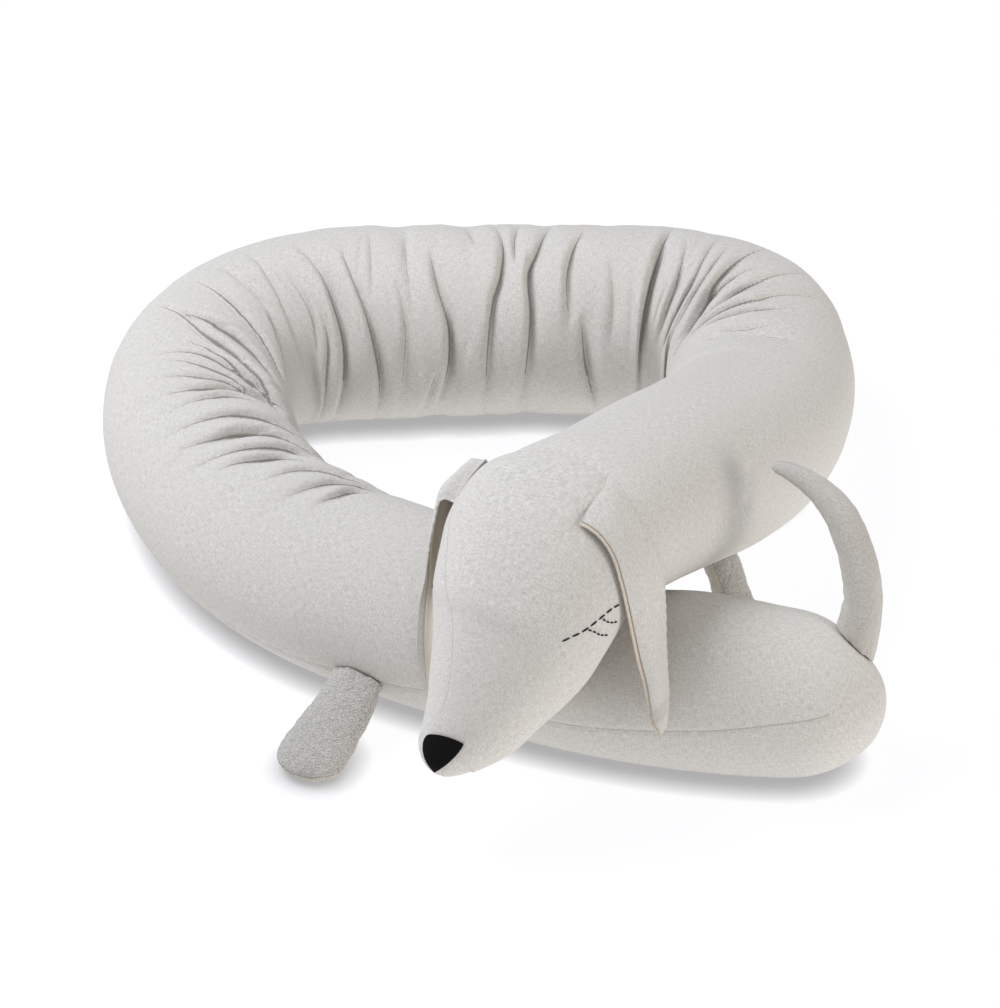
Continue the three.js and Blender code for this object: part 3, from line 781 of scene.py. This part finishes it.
def makeEar(side):
    hand, places = ears[side]["hand"], ears["places"]
    layers = {}
    for layer in ("outer", "lining"):
        node = "ear_" + side + "_" + layer
        rows = finerSheet(cadSheet(node, ears["cadAcross"], ears["cadAlong"]), places, ears["along"])
        layers[layer] = rows
    outer, lining = layers["outer"], layers["lining"]
    out = np.cross(np.gradient(lining, axis=0), np.gradient(lining, axis=1))
    out /= np.maximum(np.linalg.norm(out, axis=2, keepdims=True), 1e-9)
    if ((outer - lining) * out).sum() < 0:
        out = -out
    parts = np.linalg.norm(np.diff(lining[:, places // 2], axis=0), axis=1)
    length = np.concatenate([[0], np.cumsum(parts)]) / mm
    width = np.linalg.norm(np.diff(lining, axis=1), axis=2).sum(1) / mm
    share = np.linspace(0, 1, places + 1)
    fromFront = share[None] * width[:, None]
    fromEdge = np.minimum(fromFront, width[:, None] - fromFront)
    down = length[:, None]
    # soft lengthwise folds, a slow wave, and small puckers along the sewn edge
    relief = np.zeros(fromFront.shape)
    calm = softStep(down, 6, 40) * (1 - softStep(down, length[-1] - 50, length[-1]))
    for place, half, high in ears["folds"]:
        bend = place + 0.05 * np.sin(down / 45 + 3 * place)
        relief += high * calm * np.exp(-((share[None] - bend) * width[:, None] / half) ** 2)
    relief += ears["wave"] * calm * np.sin(down / 31 + 2.2 * share[None] + hand)
    pitch = ears["puckerEvery"] / math.tau
    puckers = np.exp(-fromEdge / 5) * np.sin(down / pitch + 1.3 * np.sin(down / 17))
    relief += ears["pucker"] * softStep(down, 4, 20) * puckers
    relief -= ears[side]["curl"] * calm * np.exp(-fromFront / 14)
    depth, reach = ears[side]["sewnIn"]
    relief -= depth * (1 - softStep(down, 0, reach))
    left = length[-1] - length
    ends = np.sqrt(np.maximum(1 - (1 - np.clip(left / ears["tipRound"], 0, 1)) ** 2, 0.0))
    ends = 0.12 + 0.88 * ends
    for layer, rows in layers.items():
        rows = rows + out * (relief * mm)[..., None]
        start = np.zeros(len(width))
        strip = abs(ears[side]["strip"])
        if (layer == "outer") == (ears[side]["strip"] > 0):
            start = np.minimum(strip / width, 0.32)
            spread = np.linspace(0, 1, ears["across"] + 1)[None] * (1 - start[:, None]) + start[:, None]
        else:
            spread = np.tile(np.linspace(0, 1, ears["across"] + 1) ** 1.35, (len(width), 1))
            lift = ears["stripLift"] * (1 - softStep(fromFront, strip * 0.55, strip * 1.15))
            lift = lift * (1 if layer == "lining" else -1)
            rows = rows + out * (lift * softStep(width, 5, 16)[:, None] * mm)[..., None]
        middle = (1 + start[:, None]) / 2
        spread = middle + (spread - middle) * ends[:, None]
        sheet = np.zeros((len(rows), ears["across"] + 1, 3))
        for k in range(len(rows)):
            for axis in range(3):
                sheet[k, :, axis] = np.interp(spread[k], share, rows[k, :, axis])
        piece = sheetFrom(sheet, "ear_" + side + "_" + layer + "_cloth", ears["cloth"] * mm, ears["rim"] * mm)
        steps = np.gradient(sheet, axis=(0, 1))
        area = float(np.linalg.norm(np.cross(*steps), axis=2).sum())
        print("ear", side, layer, "length", round(length[-1]), "widest", round(width.max()),
              "area cm2", round(area * 1e4, 1))
        finishPiece(piece, earLinen if layer == "outer" else creamCotton,
                    ["ear_" + side + "_" + layer])


makeEar("left")
makeEar("right")
print("ears made")


# The small stuffed pieces. Sizes are in mm.
stuffed = {
    "voxel": 2.0, "frames": 12, "pressure": 3.0, "cap": 2.5, "shrink": 1.0,
    "slip": 10, "slipShare": 0.75, "held": 9,  # how near the body a piece stays put
    "crinkle": 0.75, "crinkleSize": 4.5, "pucker": 0.9, "puckerReach": 15, "puckerEvery": 8,
    "legs": {
        "leg_hind_left": -116, "leg_hind_right": 63, "leg_front_left": -62, "leg_front_right": 180,
    },
    "rolled": {"leg_front_left": 100},  # how far a leg's sole turns up on its outer side
    "tailOuter": (0.73, -0.68), "tailSlant": 30,  # the way out of its curl, and its creases' slope
    # height, depth and half width of each
    "tailCreases": ((157, 2.2, 5), (171, 0.9, 4), (142, 1.0, 5), (128, 1.2, 4), (196, 0.8, 4), (219, 1.0, 4)),
}


def coverTree():
    bm = bmesh.new()
    bm.from_mesh(bodyPiece.data)
    tree = BVHTree.FromBMesh(bm)
    bm.free()
    return tree


bodyTree = coverTree()


def stuffedCopy(node, name):
    # the CAD piece as one even skin, blown up a little by its filling where it isn't sewn down
    bm = bmesh.new()
    bm.from_mesh(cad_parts[node].data)
    bmesh.ops.remove_doubles(bm, verts=bm.verts, dist=1e-5)
    bmesh.ops.recalc_face_normals(bm, faces=bm.faces)
    piece = newObject(name, bm)
    skin = piece.modifiers.new("skin", "REMESH")
    skin.mode, skin.voxel_size = "VOXEL", stuffed["voxel"] * mm
    applyModifiers(piece)
    bm = bmesh.new()
    bm.from_mesh(piece.data)
    for _ in range(8):
        bmesh.ops.smooth_vert(bm, verts=bm.verts, factor=0.5, use_axis_x=True, use_axis_y=True, use_axis_z=True)
    bm.normal_update()
    for v in bm.verts:
        v.co -= v.normal * stuffed["shrink"] * mm
    bm.to_mesh(piece.data)
    bm.free()
    start = pointsOf(piece.data)
    gaps = np.array([bodyTree.find_nearest(Vector(p))[3] for p in start]) / mm
    weightPoints(piece, "held", 1 - softStep(gaps, stuffed["held"] * 0.5, stuffed["held"]))
    move = runCloth(piece, stuffed["frames"], uniform_pressure_force=stuffed["pressure"]) - start
    far = np.linalg.norm(move, axis=1, keepdims=True)
    cap = stuffed["cap"] * mm
    start = start + move * np.minimum(1, cap / np.maximum(far, 1e-9))
    print(name, "swelled by up to", round(float(far.max()) / mm, 1), "mm")
    piece.data.vertices.foreach_set("co", start.astype(np.float32).ravel())
    piece.data.update()
    return piece, start, gaps


def noiseAt(places, size, seed):
    return np.array([noise.noise(Vector(p) / (size * mm) + Vector((seed, 0, 0))) for p in places])


def makeLeg(node, turn):
    piece, points, gaps = stuffedCopy(node, node + "_cloth")
    way = np.array([math.cos(math.radians(turn)), math.sin(math.radians(turn))])
    out = points[:, :2] @ way / mm
    out -= out.min()
    # the filling has slipped to the paddle's outer side
    sideways = np.array([way[1], -way[0]])
    slip = stuffed["slip"] * softStep(out / out.max(), 0.1, 0.6) * mm
    wide = points[:, :2] @ sideways
    wide = (wide - wide.min()) / (wide.max() - wide.min())
    points[:, :2] += sideways * (slip * (1 - stuffed["slipShare"] * wide))[:, None]
    high = points[:, 2] / mm
    # the seam runs round the middle of the paddle's height
    marks = np.arange(0, out.max() + 4, 4.0)
    middles = []
    for mark in marks:
        there = high[np.abs(out - mark) < 5]
        middles.append((there.max() + there.min()) / 2 if len(there) else high.mean())
    middles = np.convolve(np.pad(middles, 2, mode="edge"), np.ones(5) / 5, "valid")
    seamGap = high - np.interp(out, marks, middles) + 1.5
    seamGap -= stuffed["rolled"].get(node, 0) * np.maximum(wide - 0.6, 0)
    normals = pointsOf(piece.data, "normal")
    relief = stuffed["crinkle"] * noiseAt(points, stuffed["crinkleSize"], turn)
    relief += stuffed["crinkle"] * 1.3 * noiseAt(points, stuffed["crinkleSize"] * 2.6, turn + 9)
    sewnDown = np.exp(-gaps / stuffed["puckerReach"])
    relief += stuffed["pucker"] * sewnDown * noiseAt(points * np.array([1, 1, 0.2]), stuffed["puckerEvery"], 3)
    rim = np.exp(-(seamGap / 1.6) ** 2) * (1 - normals[:, 2] ** 2)
    relief -= 0.9 * rim
    piece.data.vertices.foreach_set("co", (points + normals * relief[:, None] * mm).astype(np.float32).ravel())
    piece.data.attributes.new("seamGap", "FLOAT", "POINT").data.foreach_set("value", seamGap.astype(np.float32))
    finishPiece(piece, legLinenShaded, [node])


for node, turn in stuffed["legs"].items():
    makeLeg(node, turn)
print("legs made")


def makeTail():
    piece, points, gaps = stuffedCopy("tail", "tail_cloth")
    normals = pointsOf(piece.data, "normal")
    high = points[:, 2] / mm
    relief = 0.25 * noiseAt(points, 7, 1)
    middle = points[:, :2].mean(0)
    inner = np.clip(0.35 - 0.9 * normals[:, :2] @ stuffed["tailOuter"], 0, 1)
    for place, depth, half in stuffed["tailCreases"]:
        bend = place + stuffed["tailSlant"] * (points[:, 0] - middle[0])
        relief -= depth * inner * np.exp(-np.abs((high - bend) / half) ** 1.4)
    sewnDown = np.exp(-gaps / 9)
    relief += 0.9 * sewnDown * noiseAt(points * np.array([1, 1, 0.25]), 7, 5)
    piece.data.vertices.foreach_set("co", (points + normals * relief[:, None] * mm).astype(np.float32).ravel())
    noSeam = np.full(len(points), 20, np.float32)  # the tail's face has no seam
    piece.data.attributes.new("seamGap", "FLOAT", "POINT").data.foreach_set("value", noSeam)
    finishPiece(piece, tailLinenShaded, ["tail"])


makeTail()
print("tail made")


# The nose patch, as seen from the way it faces: its middle on the cover, and its outline.
# Places and sizes are in mm.
nose = {
    "middle": (-32.8, -416.5, 112), "facing": (-0.45, -0.85, 0.26),
    "left": -15.5, "right": 20, "top": 12, "tip": -5, "low": -23, "rise": 6, "bulge": 6, "corner": 0.12,
    "cloth": 1.4, "rim": 0.5, "steps": 34, "flat": (0.036, 0.04), "area": 0.00078,
}


def makeNose():
    facing = Vector(nose["facing"]).normalized()
    across = Vector((0, 0, 1)).cross(facing).normalized()
    up = facing.cross(across)
    middle = Vector(nose["middle"]) * mm
    n = nose["steps"]

    def sideAt(s, start, bulge):
        half = (1 - s) ** 2 * np.array([start, nose["top"]]) + s ** 2 * np.array([nose["tip"], nose["low"]])
        return half + 2 * s * (1 - s) * np.array([start - bulge, (nose["top"] + nose["low"]) / 2])

    rows = np.zeros((n + 1, n + 1, 3))
    for j in range(n + 1):
        s = j / n
        left, right = sideAt(s, nose["left"], nose["bulge"]), sideAt(s, nose["right"], nose["bulge"])
        drawn = nose["corner"] * np.exp(-s / 0.07)  # rounds the upper corners
        left, right = left + drawn * (right - left), right - drawn * 0.15 * (right - left)
        for i in range(n + 1):
            t = i / n
            u, v = left + (right - left) * t
            v += 2 * t * (1 - t) * nose["rise"] * (1 - s) ** 2
            start = middle + (across * u + up * v) * mm + facing * 60 * mm
            hit, normal, _, _ = bodyTree.ray_cast(start, -facing)
            rows[j, i] = hit + normal * (0.3 + nose["cloth"] / 2) * mm
    piece = sheetFrom(rows, "nose_felt", nose["cloth"] * mm, nose["rim"] * mm)
    finishPiece(piece, blackFelt, ["nose"])


def makeFibres(name, look):
    # felt or thread: two near tones, and a fine relief, from one pattern
    material = bpy.data.materials.new(name)
    material.use_nodes = True
    surface = material.node_tree.nodes["Principled BSDF"]
    place = addNode(material, "TexCoord").outputs["Object"]
    fibres = addNode(material, look["pattern"], look["settings"], Vector=place).outputs["Fac"]
    tone = addNode(material, "Mix", {"data_type": "RGBA", 6: linear(look["deep"]), 7: linear(look["light"])},
                   _0=fibres)
    material.node_tree.links.new(tone.outputs[2], surface.inputs["Base Color"])
    bump = addNode(material, "Bump", {"Strength": look["bump"], "Distance": look["thick"] * mm}, Height=fibres)
    material.node_tree.links.new(bump.outputs["Normal"], surface.inputs["Normal"])
    surface.inputs["Roughness"].default_value = look["roughness"]
    surface.inputs["Specular IOR Level"].default_value = look["gloss"]
    return material


# Pressed wool felt, dyed black: no weave, a soft fuzzy face of matted fibres about 1 mm apart.
blackFelt = makeFibres("wool_felt", {
    "pattern": "TexNoise", "settings": {"Scale": 900.0, "Detail": 4.0, "Roughness": 0.7},
    "deep": "#080808", "light": "#171616", "bump": 0.6, "thick": 0.4, "roughness": 1.0, "gloss": 0.15})
makeNose()
print("nose made")


# The closed eyes: running stitches in black thread, as places (along, around). The thread's
# thickness, stitch length and gap are in mm.
eyes = {
    "lid": {"path": ((2198, 145.5), (2189, 152), (2184, 156), (2177.5, 159.5), (2169, 163.5), (2161, 166.5),
                     (2151, 172)), "stitch": 7.6, "gap": 2.1},
    "lashOne": {"path": ((2170, 165), (2169.5, 169), (2167.4, 174), (2163, 179)), "stitch": 4.2, "gap": 1.7},
    "lashTwo": {"path": ((2182, 158.5), (2181, 164), (2180.8, 170), (2177.5, 177)), "stitch": 4.2, "gap": 1.7},
    "thread": 1.8, "sink": 0.4, "lower": 17,  # the right eye sits this many degrees lower
    "headMiddle": ((2140, 74), (2170, 86), (2206, 95), (2240, 104)),  # the top of the head
}


def stitchLine(bm, path, stitch, gap):
    # a running stitch along a line on the cover, each stitch a short rounded bar of thread
    spots = [onCover(a, b) for a, b in smoothPath(path, 14)]
    line = np.array([spot for spot, _ in spots])
    outs = np.array([out for _, out in spots])
    far = np.concatenate([[0], np.cumsum(np.linalg.norm(np.diff(line, axis=0), axis=1))]) / mm
    count = max(1, round((far[-1] + gap) / (stitch + gap)))
    step = (far[-1] + gap) / count
    for k in range(count):
        first, last = k * step, k * step + step - gap
        ends = [np.array([np.interp(d, far, line[:, i]) for i in range(3)]) for d in (first, last)]
        out = Vector([np.interp(k * step + step / 2, far, outs[:, i]) for i in range(3)]).normalized()
        way = Vector(ends[1] - ends[0])
        side = way.cross(out).normalized()
        turn = Matrix((way.normalized(), side, side.cross(way).normalized())).transposed().to_4x4()
        size = Matrix.Diagonal((way.length / 2, eyes["thread"] / 2 * mm, eyes["thread"] / 2 * mm, 1))
        middle = Vector((ends[0] + ends[1]) / 2) + out * (eyes["thread"] / 2 - eyes["sink"]) * mm
        ball = bmesh.ops.create_uvsphere(bm, u_segments=8, v_segments=6, radius=1)
        for v in ball["verts"]:
            # the ball is squared off a little at its two ends, and laid on its side
            v.co = Vector((max(-1, min(1, v.co.z * (1.25 - 0.25 * abs(v.co.z)))), v.co.x, v.co.y))
        bmesh.ops.transform(bm, matrix=Matrix.Translation(middle) @ turn @ size, verts=ball["verts"])


def makeEyes():
    for side in ("left", "right"):
        bm = bmesh.new()
        for word in ("lid", "lashOne", "lashTwo"):
            path = eyes[word]["path"]
            if side == "right":
                tops = list(zip(*eyes["headMiddle"]))
                path = tuple((a, 2 * float(np.interp(a, *tops)) - b - eyes["lower"]) for a, b in path)
            stitchLine(bm, path, eyes[word]["stitch"], eyes[word]["gap"])
        bmesh.ops.recalc_face_normals(bm, faces=bm.faces)
        finishPiece(newObject("eye_stitches_" + side, bm), blackThread)


# Stranded cotton embroidery thread, black: twisted strands with a faint soft shine.
blackThread = makeFibres("embroidery_thread", {
    "pattern": "TexWave", "settings": {"Scale": 420.0, "Distortion": 2.0},
    "deep": "#0c0b0b", "light": "#1d1b1a", "bump": 0.5, "thick": 0.2, "roughness": 0.7, "gloss": 0.5})
makeEyes()
print("eyes stitched")
